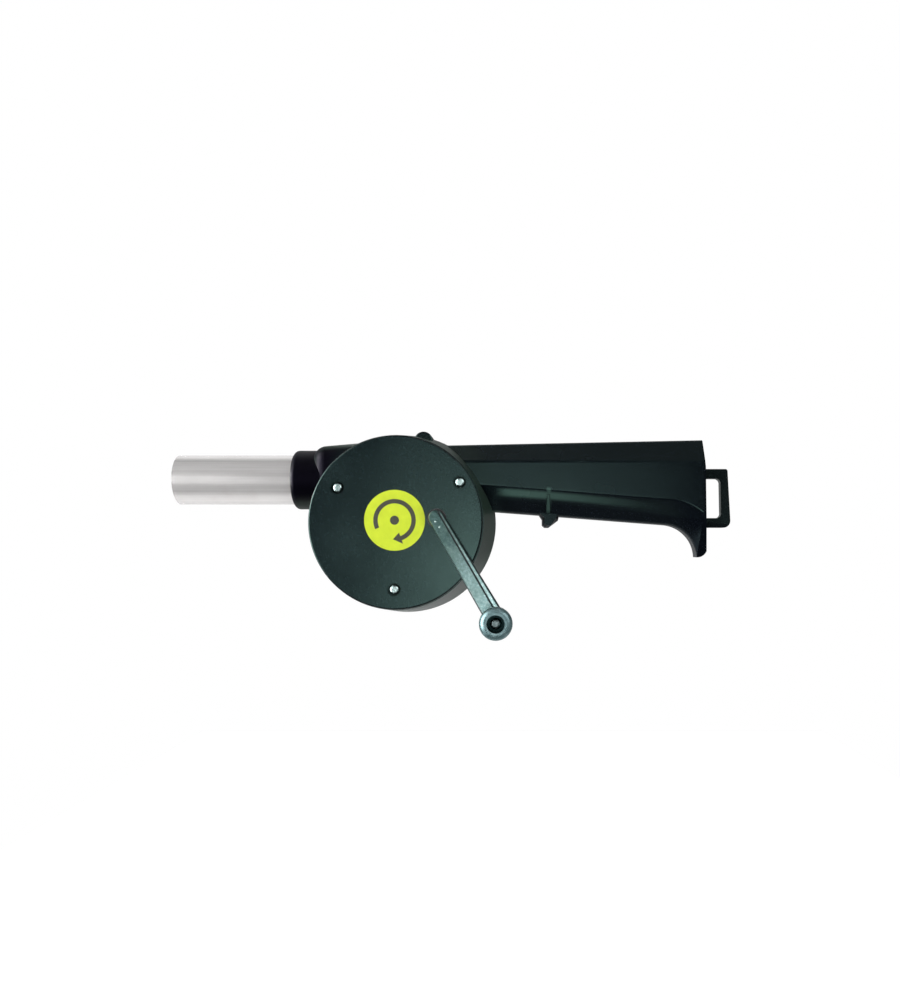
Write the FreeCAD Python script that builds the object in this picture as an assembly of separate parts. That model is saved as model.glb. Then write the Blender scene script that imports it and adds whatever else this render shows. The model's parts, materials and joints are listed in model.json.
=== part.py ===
"""A hand cranked blower: two moulded shells, a step-up gear train, a fan wheel and a metal outlet tube.

Units are millimetres. The fan axis runs along Y through the origin, which lies on the flat rear face.
The crank side faces -Y, the outlet tube points along -X, the handle along +X, and +Z is up in use.
"""

import FreeCAD
import Part
import math
import os

Vec = FreeCAD.Vector

# Walls of the mouldings
WALL = 2.2
DECK_THICK = 1.8
DECK_STEP = 0.2

# Scroll casing: round at the front rim, wider at the parting plane, a little narrower at the rear
RIM_C = (0.3, -0.15)
BELLY_C = (2.8, -0.1)
BELLY_DRAFT = 2.6
REAR_DRAFT = 1.3
REAR_EDGE_R = 3.0
REAR_SPARE = 1.4
GEAR_SPARE = 2.5

# Outlet: tube, round socket and neck
TUBE_R = 12.0
TUBE_WALL = 0.6
TUBE_Z = 21.3
TUBE_MOUTH_X = -108.3
TUBE_INSERT = 12.0
SOCKET_WALL = 2.35
SOCKET_MOUTH_X = -51.8
SOCKET_ROOT_X = -41.0
SOCKET_EDGE_R = 2.4
NECK_ROOT_X = -12.0
NECK_ABOVE = 0.85
NECK_BELOW = 0.15
NECK_SIDES = 0.25
NECK_EDGE_R = 7.0
NECK_SHOULDER_R = 6.0
NECK_TOP_RISE = 0.088

# Handle: flat grip face with a sloping band above and below it, and a flared heel
GRIP_HALF = 13.0
GRIP_FLAT_HALF = 4.5
GRIP_ROOT_X = 22.0
GRIP_END_X = 148.3
GRIP_END_STEP = 1.6
GRIP_TOP_Z = 37.87
GRIP_TOP_RISE = 0.0204
FACE_TOP_Z = 29.4
GRIP_BOTTOM_Z = 7.35
GRIP_BOTTOM_FALL = 0.0765
BOTTOM_BAND = 12.0
HEEL_BACK = 21.5
HEEL_R = 16.7
TIP_Z = -16.5
FACE_TIP_Z = 4.6
RIDGE_R = 2.0
BAND_R = 2.5
TIP_R = 4.5
END_BEND = 0.6
END_BEND_Z = 26.8
END_SLOPE = 0.11
END_CHAMFER = 1.2

# Finger stop under the handle: a nub, steep towards the casing, with a tapering rib up the sloping band
FIN_X = 68.4
FIN_BOTTOM_Z = -2.2
FIN_LENGTH = 8.8
FIN_HALF = 5.4
FIN_TOP_Z = 5.2
RIB_X = 71.3
RIB_FOOT_R = 1.5
RIB_TIP_R = 0.6
RIB_START = 2.0
RIB_LENGTH = 10.5

# Hanging loop on the heel
LOOP_THICK = 4.2
LOOP_TOP_Z = 26.75
LOOP_BOTTOM_Z = -2.0
LOOP_REACH = 11.2
LOOP_LEAN = 1.6
LOOP_BAR = 4.7
LOOP_SIDE_BAR = 3.9
LOOP_SLOT_R = 2.2
LOOP_TOP_R = 1.0
LOOP_BOTTOM_R = 3.4

# Screws: self-tapping, pan head with a cross recess
SCREW_R = 1.25
SCREW_HEAD_R = 2.15
SCREW_HEAD_H = 1.7
SCREW_CLEAR = 0.25
SCREW_POINT = 1.6
CROSS_WIDTH = 0.55
CROSS_LENGTH = 2.4
CROSS_DEPTH = 0.9
BOSS_WALL = 2.15
HEAD_BOSS_WALL = 1.15
BUMP_WALL = 3.15
BUMP_HALF = 13.0
BUMP_ANGLE = 77.0
BUMP_IN = 3.0
BODY_SEAT = 7.0
BODY_SCREW_LENGTH = 14.0
SCROLL_SCREW_ANGLES = (205.0, 300.0)
SCROLL_SCREW_IN = 5.9
GRIP_SCREW_Z = 20.5
GRIP_SCREW_ENDS = (34.0, 12.6)
COVER_SCREW_ANGLES = (149.1, 31.9, 269.1)
COVER_SCREW_INS = (9.5, 5.6, 9.6)
COVER_SCREW_LENGTH = 9.0
HOLE_SPARE = 0.6

# Front cover and its round label
COVER_STEP = 0.4
COVER_THICK = 3.0
COVER_EDGE_R = 0.7
COVER_LIP = 1.5
COVER_LIP_H = 1.2
LIP_CLEAR = 0.1
COVER_BOSS = 0.8
COVER_BOSS_WALL = 1.6
COUNTERBORE = 1.9
COUNTERBORE_CLEAR = 0.95
LABEL_MARGIN = 0.9
LABEL_Z = 0.8
LABEL_THICK = 0.25
LABEL_SINK = 0.3
LABEL_CLEAR = 0.15

# Gear train: module, teeth and widths
MODULE = 0.8
PRESSURE = math.radians(25.0)
ADDENDUM = 0.85 * MODULE
DEDENDUM = 1.19 * MODULE
BACKLASH = 0.16
DRIVE_TEETH = 36
IDLER_PINION_TEETH = 12
IDLER_TEETH = 36
FAN_PINION_TEETH = 10
DRIVE_WIDTH = 4.0
IDLER_WIDTH = 3.0
GEAR_GAP = 0.8
COVER_GAP = 1.4
WEB_RECESS = 1.2
WEB_HOLES = 6
GEAR_HUB_WALL = 2.4
CRANK_C = (19.4, 1.7)

# Shafts and running clearances
RUN = 0.05
SIDE_PLAY = 0.3
CRANK_SHAFT_R = 3.0
FLAT_DEPTH = 0.5
CRANK_TAIL_R = 2.0
TENON_STEP = 0.8
CLIP_STEP = 0.4
CLIP_THICK = 0.5
PIN_SEAT = 1.0
IDLER_PIN_R = 1.5
FAN_SHAFT_R = 1.5
BUSH_WALL = 1.5
BUSH_PROUD = 0.3

# Crank arm: bar that widens from hub to eye, with bevels round its flat front face
ARM_RADIUS = 53.73
ARM_ANGLE = -58.78
ARM_GAP = 3.0
ARM_THICK = 5.0
ARM_BEVEL = 2.0
ARM_RIDGE = 0.7
HUB_STEPS = (0.3, 0.6)
HUB_RIDGE_INSET = (0.45, 0.25)
HUB_FACE_INSET = (0.7, 1.3)
EYE_SIDES = (4.9, 4.0)
EYE_RIDGE_INSET = (0.9, 0.95)
EYE_FACE_INSET = (1.2, 2.7)
GROOVE_WIDTH = 0.75
GROOVE_DEPTH = 0.7
EYE_PAD = 0.5
EYE_PAD_R = 3.6

# Knob and the rivet it turns on
KNOB_LENGTH = 23.5
KNOB_BASE_R = 5.9
KNOB_WAIST_R = 5.6
KNOB_HEAD_R = 7.2
KNOB_EDGE_R = 2.6
KNOB_RECESS_CLEAR = 1.25
KNOB_RECESS = 4.2
KNOB_PIN_R = 2.0
KNOB_PIN_STEP = 0.5
KNOB_PIN_HEAD_H = 1.6

# Fan wheel
FAN_SPARE = 11.7
FAN_PLATE = 1.4
FAN_HUB_WALL = 3.5
FAN_HUB_LENGTH = 13.0
BLADES = 9
BLADE_INNER_R = 12.0
BLADE_THICK = 1.4
BLADE_SWEEP = 26.0
FAN_FRONT_GAP = 2.6
FAN_REAR_GAP = 3.6

# Air intake in the rear face
INTAKE_R = 21.5
INTAKE_HUB_R = 6.5
INTAKE_BARS = 2
INTAKE_BAR = 1.9
SPOKES = 6
SPOKE_WIDTH = 2.6
HUB_BOSS_WALL = 1.8
HUB_BOSS = 2.4
BUSH_BACK = 1.2


def polar(centre, radius, angle):
    """The (x, z) point at a radius and an angle in radians from a centre."""
    return (centre[0] + radius * math.cos(angle), centre[1] + radius * math.sin(angle))


def apart(a, b):
    return math.hypot(a[0] - b[0], a[1] - b[1])


def angle_between(a, b):
    return math.atan2(b[1] - a[1], b[0] - a[0])


def pitch_radius(teeth):
    return MODULE * teeth / 2


def idler_centre():
    """Where the idler axis lies: above the line from fan to crank, at both meshing distances."""
    reach = pitch_radius(DRIVE_TEETH) + pitch_radius(IDLER_PINION_TEETH)
    other = pitch_radius(IDLER_TEETH) + pitch_radius(FAN_PINION_TEETH)
    span = apart(CRANK_C, FAN_C)
    along = (other ** 2 - reach ** 2 + span ** 2) / (2 * span)
    across = math.sqrt(other ** 2 - along ** 2)
    ux = (CRANK_C[0] - FAN_C[0]) / span
    uz = (CRANK_C[1] - FAN_C[1]) / span
    return (FAN_C[0] + along * ux - across * uz, FAN_C[1] + along * uz + across * ux)


# Radii and places that follow from the sizes above
FAN_C = (0.0, 0.0)
IDLER_C = idler_centre()
KNOB_C = polar(CRANK_C, ARM_RADIUS, math.radians(ARM_ANGLE))
SOCKET_R = TUBE_R + SOCKET_WALL
NECK_TOP_Z = TUBE_Z + SOCKET_R + NECK_ABOVE
NECK_BOTTOM_Z = TUBE_Z - SOCKET_R - NECK_BELOW
NECK_HALF = SOCKET_R + NECK_SIDES
BOSS_R = SCREW_R + BOSS_WALL
HEAD_BOSS_R = SCREW_HEAD_R + SCREW_CLEAR + HEAD_BOSS_WALL
BUMP_R = SCREW_R + BUMP_WALL
CRANK_FLAT = CRANK_SHAFT_R - FLAT_DEPTH
TENON_R = CRANK_SHAFT_R - TENON_STEP
TENON_FLAT = TENON_R - FLAT_DEPTH
CRANK_BUSH_R = CRANK_SHAFT_R + BUSH_WALL
HUB_SIDES = tuple(CRANK_SHAFT_R + step for step in HUB_STEPS)
FAN_BUSH_R = FAN_SHAFT_R + BUSH_WALL
HUB_BOSS_R = FAN_BUSH_R + HUB_BOSS_WALL
LABEL_R = abs(CRANK_C[0]) - CRANK_BUSH_R - LABEL_MARGIN
KNOB_PIN_HEAD_R = KNOB_PIN_R + KNOB_PIN_STEP
KNOB_RECESS_R = KNOB_PIN_HEAD_R + KNOB_RECESS_CLEAR

# The gear train sets the rim: inside the shell wall and the cover's lip there is room for both large gears
DRIVE_REACH = apart(CRANK_C, RIM_C) + pitch_radius(DRIVE_TEETH) + ADDENDUM
IDLER_REACH = apart(IDLER_C, RIM_C) + pitch_radius(IDLER_TEETH) + ADDENDUM
RIM_R = max(DRIVE_REACH, IDLER_REACH) + GEAR_SPARE + COVER_LIP + LIP_CLEAR + WALL
BELLY_R = RIM_R + BELLY_DRAFT
REAR_R = BELLY_R - REAR_DRAFT
COVER_R = RIM_R - COVER_STEP
FAN_R = BELLY_R - WALL - FAN_SPARE

# Planes along Y, from the flat rear face at 0 towards the crank at -Y
PART_Y = -(NECK_HALF + REAR_SPARE)
DECK_REAR_Y = PART_Y - (TUBE_R - TUBE_WALL) - DECK_STEP
DECK_Y = DECK_REAR_Y - DECK_THICK
IDLER_Y0 = DECK_Y - GEAR_GAP / 2 - IDLER_WIDTH
DRIVE_Y0 = IDLER_Y0 - GEAR_GAP - DRIVE_WIDTH
DRIVE_Y1 = DRIVE_Y0 + DRIVE_WIDTH
RIM_Y = DRIVE_Y0 - COVER_GAP
COVER_Y = RIM_Y - COVER_THICK
TAIL_BOSS_Y = DRIVE_Y1 + CLIP_THICK + SIDE_PLAY
ARM_Y1 = COVER_Y - ARM_GAP
ARM_Y0 = ARM_Y1 - ARM_THICK
HUB_FOOT_Y = COVER_Y - BUSH_PROUD - SIDE_PLAY
KNOB_Y1 = ARM_Y0 - EYE_PAD - SIDE_PLAY
KNOB_Y0 = KNOB_Y1 - KNOB_LENGTH
FAN_Y0 = DECK_REAR_Y + FAN_FRONT_GAP
FAN_Y1 = -WALL - FAN_REAR_GAP


def around(centre, radius, degrees):
    return polar(centre, radius, math.radians(degrees))


BUMP_C = around(BELLY_C, BELLY_R - BUMP_IN, BUMP_ANGLE)
COVER_SCREWS = [around(RIM_C, RIM_R - i, a) for i, a in zip(COVER_SCREW_INS, COVER_SCREW_ANGLES)]
SCROLL_SCREWS = [around(BELLY_C, BELLY_R - SCROLL_SCREW_IN, a) for a in SCROLL_SCREW_ANGLES]
GRIP_SCREW_X = (GRIP_ROOT_X + GRIP_SCREW_ENDS[0], GRIP_END_X - GRIP_SCREW_ENDS[1])
GRIP_SCREWS = [(GRIP_SCREW_X[0], GRIP_SCREW_Z), (sum(GRIP_SCREW_X) / 2, GRIP_SCREW_Z),
               (GRIP_SCREW_X[1], GRIP_SCREW_Z)]
BODY_SCREWS = [BUMP_C] + SCROLL_SCREWS + GRIP_SCREWS


def at(point, y):
    """The 3-D point at (x, z) in the plane y."""
    return Vec(point[0], y, point[1])


def rod(centre, radius, y0, y1):
    """A solid cylinder along Y between two planes, given in either order."""
    return Part.makeCylinder(radius, abs(y1 - y0), at(centre, min(y0, y1)), Vec(0, 1, 0))


def ring(centre, outer, inner, y0, y1):
    """A tube along Y."""
    return rod(centre, outer, y0, y1).cut(rod(centre, inner, y0 - 1, y1 + 1))


def rod_x(radius, x0, x1):
    """A solid cylinder along X on the outlet axis."""
    return Part.makeCylinder(radius, x1 - x0, Vec(x0, PART_Y, TUBE_Z), Vec(1, 0, 0))


def box(x0, x1, y0, y1, z0, z1):
    return Part.makeBox(x1 - x0, y1 - y0, z1 - z0, Vec(x0, y0, z0))


def half_space(side):
    """Everything on one side of the parting plane: -1 is the crank side."""
    far = 300.0
    if side < 0:
        return box(-far, far, -far, PART_Y, -far, far)
    return box(-far, far, PART_Y, far, -far, far)


def line(a, b, y=0.0):
    return Part.LineSegment(at(a, y), at(b, y)).toShape()


def arc(a, middle, b, y=0.0):
    return Part.Arc(at(a, y), at(middle, y), at(b, y)).toShape()


def polygon(points, y=0.0):
    """A closed wire of straight edges through (x, z) points in the plane y."""
    ends = points[1:] + points[:1]
    return Part.Wire([line(a, b, y) for a, b in zip(points, ends)])


def extrude(wire, y0, y1):
    """A solid with the outline of a wire that lies in the plane y = 0."""
    face = Part.Face(wire)
    face.translate(Vec(0, y0, 0))
    return face.extrude(Vec(0, y1 - y0, 0))


def circle(centre, radius, y):
    return Part.Wire([Part.Circle(at(centre, y), Vec(0, 1, 0), radius).toShape()])


def loft(wires):
    """A solid with straight sides between closed wires."""
    return Part.makeLoft(wires, True, True)


def join(first, *others):
    """One solid made of the pieces, without seams between flush faces."""
    return first.fuse(list(others)).removeSplitter()


def flat_edges(shape, y):
    """The shape's edges that lie in the plane y."""
    return [e for e in shape.Edges if all(abs(v.Point.y - y) < 1e-4 for v in e.Vertexes)]


def scroll_half(side, inset):
    """The round body of the casing on one side of the parting plane, drawn in by the inset."""
    belly = circle(BELLY_C, BELLY_R - inset, PART_Y)
    if side < 0:
        return loft([circle(RIM_C, RIM_R - inset, RIM_Y), belly])
    rear = loft([belly, circle(BELLY_C, REAR_R - inset, -inset)])
    return rear.makeFillet(max(REAR_EDGE_R - inset, 1.0), flat_edges(rear, -inset))


def neck_half(side, inset):
    """The block between the round socket and the scroll, with a slightly rising top."""
    left = SOCKET_ROOT_X + 2 * inset
    depth = NECK_HALF - inset
    low = NECK_BOTTOM_Z + inset
    high = NECK_TOP_Z - inset
    rise = NECK_TOP_RISE * (NECK_ROOT_X - left)
    outline = polygon([(left, low), (NECK_ROOT_X, low), (NECK_ROOT_X, high + rise), (left, high)])
    body = extrude(outline, PART_Y - depth, PART_Y + depth)
    along = [e for e in body.Edges if abs(e.Vertexes[0].Point.x - e.Vertexes[1].Point.x) > 1]
    body = body.makeFillet(NECK_EDGE_R - inset, along)
    if inset == 0:
        shoulder = [e for e in body.Edges if all(abs(v.Point.x - left) < 1e-4 for v in e.Vertexes)]
        body = body.makeFillet(NECK_SHOULDER_R, shoulder)
    return body.common(half_space(side))


def socket_half(side):
    """The round socket that grips the outlet tube."""
    body = rod_x(SOCKET_R, SOCKET_MOUTH_X, SOCKET_ROOT_X + 4)
    mouth = [e for e in body.Edges if abs(e.CenterOfMass.x - SOCKET_MOUTH_X) < 1e-3]
    return body.makeFillet(SOCKET_EDGE_R, mouth).common(half_space(side))


def heel_centre():
    x = GRIP_END_X - HEEL_BACK
    foot = GRIP_BOTTOM_Z - GRIP_BOTTOM_FALL * (x - GRIP_ROOT_X)
    return (x, foot - HEEL_R * math.hypot(1.0, GRIP_BOTTOM_FALL))


def end_lean(z):
    """How far the handle's end wall leans back at a height: a little up to the bend, more above it."""
    if z < END_BEND_Z:
        return END_BEND * (z - TIP_Z) / (END_BEND_Z - TIP_Z)
    return END_BEND + END_SLOPE * (z - END_BEND_Z)


def grip_outline(y, inset, top_left_z, top_right_z, band, end_step, tip_z):
    """The handle's closed outline in the plane y: rounded corners at the end and a flared heel."""
    end = GRIP_END_X - inset - end_step
    radius = HEEL_R + inset + band
    centre = heel_centre()
    start = math.pi / 2 - math.atan(GRIP_BOTTOM_FALL)
    tip_angle = math.asin((tip_z - centre[1]) / radius)
    top_left = (GRIP_ROOT_X, top_left_z - inset)
    top_right = (end - end_lean(top_right_z), top_right_z - inset)
    bend = (end - END_BEND, END_BEND_Z - inset)
    tip_inner = polar(centre, radius, tip_angle)
    tip_outer = (end - end_lean(tip_z), tip_z)
    middle = polar(centre, radius, (start + tip_angle) / 2)
    heel = polar(centre, radius, start)
    root = (GRIP_ROOT_X, heel[1] + GRIP_BOTTOM_FALL * (heel[0] - GRIP_ROOT_X))
    return Part.Wire([line(top_left, top_right, y), line(top_right, bend, y),
                      line(bend, tip_outer, y), line(tip_outer, tip_inner, y),
                      arc(tip_inner, middle, heel, y), line(heel, root, y), line(root, top_left, y)])


def grip_half(side, inset):
    """The handle on one side of the parting plane: sloping bands lead from the wide middle to the face."""
    top_end_z = GRIP_TOP_Z + GRIP_TOP_RISE * (GRIP_END_X - GRIP_ROOT_X)
    tip_z = TIP_Z + 2 * inset
    face_tip_z = FACE_TIP_Z + 2 * inset
    face = grip_outline(PART_Y + side * (GRIP_HALF - inset), inset, FACE_TOP_Z, FACE_TOP_Z,
                        BOTTOM_BAND, GRIP_END_STEP, face_tip_z)
    wide = grip_outline(PART_Y + side * GRIP_FLAT_HALF, inset, GRIP_TOP_Z, top_end_z, 0.0, 0.0, tip_z)
    middle = grip_outline(PART_Y, inset, GRIP_TOP_Z, top_end_z, 0.0, 0.0, tip_z)
    return loft([face, wide, middle])


def end_chamfer(side):
    """The wedge taken off the ridge between the grip face and the end wall."""
    face_y = PART_Y + side * GRIP_HALF
    in_y = face_y - side * END_CHAMFER
    out_y = face_y + side * 2.0
    end = GRIP_END_X - GRIP_END_STEP
    near, far = end - END_CHAMFER - END_BEND, end + 6.0
    corners = [(near, out_y), (near, face_y), (end + 0.3, in_y), (far, in_y), (far, out_y)]
    points = [Vec(x, y, TIP_Z) for x, y in corners]
    wire = Part.makePolygon(points + points[:1])
    return Part.Face(wire).extrude(Vec(0, 0, 80.0))


def grip_outer(side):
    """The handle's outside with its ridges and the outer corner of its tip rounded."""
    body = grip_half(side, 0.0)
    face = [e for e in flat_edges(body, PART_Y + side * GRIP_HALF)
            if GRIP_ROOT_X + 1 < e.CenterOfMass.x < GRIP_END_X - 8]
    body = body.makeFillet(RIDGE_R, face)
    band = [e for e in flat_edges(body, PART_Y + side * GRIP_FLAT_HALF)
            if e.CenterOfMass.x > GRIP_ROOT_X + 1 and e.Length > 10]
    body = body.makeFillet(BAND_R, band)
    centre = (GRIP_END_X - TIP_R, TIP_Z + TIP_R)
    corner = box(centre[0], GRIP_END_X + 1, PART_Y - GRIP_HALF, PART_Y + GRIP_HALF, TIP_Z - 1, centre[1])
    corner = corner.cut(rod(centre, TIP_R, PART_Y - GRIP_HALF - 1, PART_Y + GRIP_HALF + 1))
    return body.cut([corner, end_chamfer(side)])


def fin_outline(y, inset):
    """The finger stop's closed outline: steep on the casing side, sloping up towards the heel."""
    left, low = FIN_X + inset, FIN_BOTTOM_Z + inset
    right = FIN_X + FIN_LENGTH - inset
    return polygon([(left - 2.4, FIN_TOP_Z), (left, low + 3.8), (left, low + 1.1), (left + 1.2, low),
                    (left + 3.2, low), (right - 0.8, low + 3.6), (right, FIN_TOP_Z)], y)


def fin_half(side):
    """The finger stop on one side, with the tapering rib that runs up the sloping band."""
    body = loft([fin_outline(PART_Y, 0.0), fin_outline(PART_Y + side * FIN_HALF * 0.6, 0.2),
                 fin_outline(PART_Y + side * FIN_HALF, 1.2)])
    foot_z = GRIP_BOTTOM_Z - GRIP_BOTTOM_FALL * (RIB_X - GRIP_ROOT_X)
    along = Vec(0, side * (GRIP_HALF - GRIP_FLAT_HALF), BOTTOM_BAND).normalize()
    foot = Vec(RIB_X, PART_Y + side * GRIP_FLAT_HALF, foot_z) + along * RIB_START
    return body.fuse(Part.makeCone(RIB_FOOT_R, RIB_TIP_R, RIB_LENGTH, foot, along))


def loop_plate():
    """The hanging loop, moulded on the rear half of the heel."""
    root = GRIP_END_X - 1.4
    top_x = GRIP_END_X + LOOP_REACH
    outer = extrude(polygon([(root, LOOP_TOP_Z), (top_x, LOOP_TOP_Z), (top_x + LOOP_LEAN, LOOP_BOTTOM_Z),
                             (root, LOOP_BOTTOM_Z)]), PART_Y, PART_Y + LOOP_THICK)
    across = [e for e in outer.Edges if e.Vertexes[0].Point.x > root + 1
              and abs(e.Vertexes[0].Point.y - e.Vertexes[1].Point.y) > 1]
    outer = outer.makeFillet(LOOP_TOP_R, [e for e in across if e.CenterOfMass.z > 0])
    across = [e for e in outer.Edges if e.Vertexes[0].Point.x > root + 1 and len(e.Vertexes) == 2
              and abs(e.Vertexes[0].Point.y - e.Vertexes[1].Point.y) > 1 and e.CenterOfMass.z < 0]
    outer = outer.makeFillet(LOOP_BOTTOM_R, across)
    low, high = LOOP_BOTTOM_Z + LOOP_BAR, LOOP_TOP_Z - LOOP_BAR
    side = top_x - LOOP_SIDE_BAR
    slot = extrude(polygon([(root - 6, low), (side + LOOP_LEAN / 2, low), (side + LOOP_LEAN / 4, high),
                            (root - 6, high)]), PART_Y - 1, PART_Y + LOOP_THICK + 1)
    corners = [e for e in slot.Edges if e.Vertexes[0].Point.x > root
               and abs(e.Vertexes[0].Point.y - e.Vertexes[1].Point.y) > 1]
    return outer.cut(slot.makeFillet(LOOP_SLOT_R, corners))


def bump_half(side):
    """The outside of the screw boss on top of the casing."""
    y0, y1 = sorted((PART_Y, PART_Y + side * BUMP_HALF))
    body = rod(BUMP_C, BUMP_R, y0, y1)
    return body.makeFillet(0.8, flat_edges(body, PART_Y + side * BUMP_HALF))


def shell_outside(side):
    """One half of the moulded body as a solid block."""
    return scroll_half(side, 0.0).fuse([neck_half(side, 0.0), socket_half(side), grip_outer(side),
                                        bump_half(side), fin_half(side)])


def outlet_bore(side):
    """The seat of the tube in the socket and the air passage behind it."""
    seat_end = SOCKET_MOUTH_X + TUBE_INSERT
    bore = rod_x(TUBE_R, SOCKET_MOUTH_X - 1, seat_end)
    passage = rod_x(TUBE_R - TUBE_WALL, seat_end - 1, SOCKET_ROOT_X + 2 * WALL + 3)
    return bore.fuse(passage).common(half_space(side))


def grip_cavity(side):
    return grip_half(side, WALL).cut(scroll_half(side, -0.01))


def make_front_shell():
    """The crank-side shell, with the deck that carries the gears and the bosses for the cover."""
    shell = shell_outside(-1)
    inside = scroll_half(-1, WALL)
    far = 60.0
    gear_room = inside.common(box(-far, far, RIM_Y - 1, DECK_Y, -far, far))
    mouth = rod(RIM_C, RIM_R - WALL, RIM_Y - 1, RIM_Y + 0.5)
    air = inside.fuse(neck_half(-1, WALL)).common(box(-far, far, DECK_REAR_Y, PART_Y + 1, -far, far))
    shell = shell.cut([gear_room, mouth, air, outlet_bore(-1), grip_cavity(-1)])
    bosses = [rod(c, BOSS_R, DECK_Y - 0.5, PART_Y) for c in SCROLL_SCREWS]
    bosses += [rod(c, BOSS_R, PART_Y - GRIP_HALF + 1, PART_Y) for c in GRIP_SCREWS]
    bosses += [rod(BUMP_C, BOSS_R, DECK_Y - 0.5, PART_Y).common(scroll_half(-1, 0.1))]
    bosses += [rod(c, BOSS_R, RIM_Y, DECK_Y + 0.5) for c in COVER_SCREWS]
    bosses += [rod(CRANK_C, CRANK_TAIL_R + BUSH_WALL, TAIL_BOSS_Y, DECK_REAR_Y - 0.2)]
    bosses += [rod(IDLER_C, BOSS_R, DECK_Y + 0.2, DECK_REAR_Y + 1.6)]
    bosses += [rod(FAN_C, HUB_BOSS_R, DECK_Y + 0.2, DECK_REAR_Y + 1.4)]
    shell = shell.fuse(bosses)
    body_screw_end = PART_Y - (BODY_SCREW_LENGTH - BODY_SEAT) - HOLE_SPARE
    holes = [rod(c, SCREW_R, body_screw_end, PART_Y + 1) for c in BODY_SCREWS]
    cover_screw_end = COVER_Y + COUNTERBORE + COVER_SCREW_LENGTH + HOLE_SPARE
    holes += [rod(c, SCREW_R, RIM_Y - 1, cover_screw_end) for c in COVER_SCREWS]
    holes += [rod(CRANK_C, CRANK_TAIL_R + RUN, TAIL_BOSS_Y - 1, DECK_REAR_Y - 0.8)]
    holes += [rod(IDLER_C, IDLER_PIN_R, DECK_Y - 1, DECK_REAR_Y + 1.0)]
    holes += [rod(FAN_C, FAN_BUSH_R, DECK_Y - 1, DECK_REAR_Y + 2.4)]
    return shell.cut(holes).removeSplitter()


def make_rear_shell():
    """The rear shell, with the air intake, the fan bearing seat, the screw bosses and the hanging loop."""
    shell = shell_outside(1).fuse(loop_plate())
    room = scroll_half(1, WALL).fuse(neck_half(1, WALL))
    shell = shell.cut([room, outlet_bore(1), grip_cavity(1)])
    bosses = [rod(c, HEAD_BOSS_R, PART_Y, -1.0) for c in SCROLL_SCREWS]
    bosses += [rod(c, HEAD_BOSS_R, PART_Y, PART_Y + GRIP_HALF - 1) for c in GRIP_SCREWS]
    bosses += [rod(BUMP_C, HEAD_BOSS_R, PART_Y, -WALL).common(scroll_half(1, 0.1))]
    bosses += [rod(FAN_C, HUB_BOSS_R, -WALL - HUB_BOSS, -1.0)]
    shell = shell.fuse(bosses)
    head_seat = PART_Y + BODY_SEAT
    cuts = [rod(c, SCREW_R + SCREW_CLEAR, PART_Y - 1, head_seat + 1) for c in BODY_SCREWS]
    cuts += [rod(c, SCREW_HEAD_R + SCREW_CLEAR, head_seat, 1.0) for c in BODY_SCREWS]
    cuts += [rod(FAN_C, FAN_BUSH_R, -WALL - HUB_BOSS - 1, -BUSH_BACK)]
    gap = (INTAKE_R - INTAKE_HUB_R - INTAKE_BARS * INTAKE_BAR) / (INTAKE_BARS + 1)
    arms = [box(0, INTAKE_R + 1, -WALL - 1, 1, -SPOKE_WIDTH / 2, SPOKE_WIDTH / 2) for _ in range(SPOKES)]
    for i, arm in enumerate(arms):
        arm.rotate(Vec(0, 0, 0), Vec(0, 1, 0), 360.0 * i / SPOKES)
    for i in range(INTAKE_BARS + 1):
        inner = INTAKE_HUB_R + i * (gap + INTAKE_BAR)
        cuts.append(ring(FAN_C, inner + gap, inner, -WALL - 0.5, 0.5).cut(arms))
    return shell.cut(cuts).removeSplitter()


def make_gear_cover():
    """The round front plate, with its locating lip and the seats of its screws, label, bush and pin."""
    plate = rod(RIM_C, COVER_R, COVER_Y, RIM_Y)
    plate = plate.makeFillet(COVER_EDGE_R, flat_edges(plate, COVER_Y))
    lip_r = RIM_R - WALL - LIP_CLEAR
    lip = ring(RIM_C, lip_r, lip_r - COVER_LIP, RIM_Y, RIM_Y + COVER_LIP_H)
    lip = lip.cut([rod(c, BOSS_R + SIDE_PLAY, RIM_Y - 1, RIM_Y + COVER_LIP_H + 1) for c in COVER_SCREWS])
    bosses = [rod(CRANK_C, CRANK_BUSH_R + COVER_BOSS_WALL, RIM_Y - 0.5, RIM_Y + COVER_BOSS),
              rod(IDLER_C, IDLER_PIN_R + COVER_BOSS_WALL, RIM_Y - 0.5, RIM_Y + COVER_BOSS)]
    plate = plate.fuse([lip] + bosses)
    cuts = [rod(CRANK_C, CRANK_BUSH_R, COVER_Y - 1, RIM_Y + 2),
            rod(IDLER_C, IDLER_PIN_R, RIM_Y - PIN_SEAT, RIM_Y + 2),
            rod((0, LABEL_Z), LABEL_R + LABEL_CLEAR, COVER_Y - 1, COVER_Y + LABEL_SINK)]
    for c in COVER_SCREWS:
        cuts.append(rod(c, SCREW_HEAD_R + COUNTERBORE_CLEAR, COVER_Y - 1, COVER_Y + COUNTERBORE))
        cuts.append(rod(c, SCREW_R + SCREW_CLEAR, COVER_Y, RIM_Y + 1))
    return plate.cut(cuts).removeSplitter()


def make_label():
    return rod((0, LABEL_Z), LABEL_R, COVER_Y + LABEL_SINK - LABEL_THICK, COVER_Y + LABEL_SINK)


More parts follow.
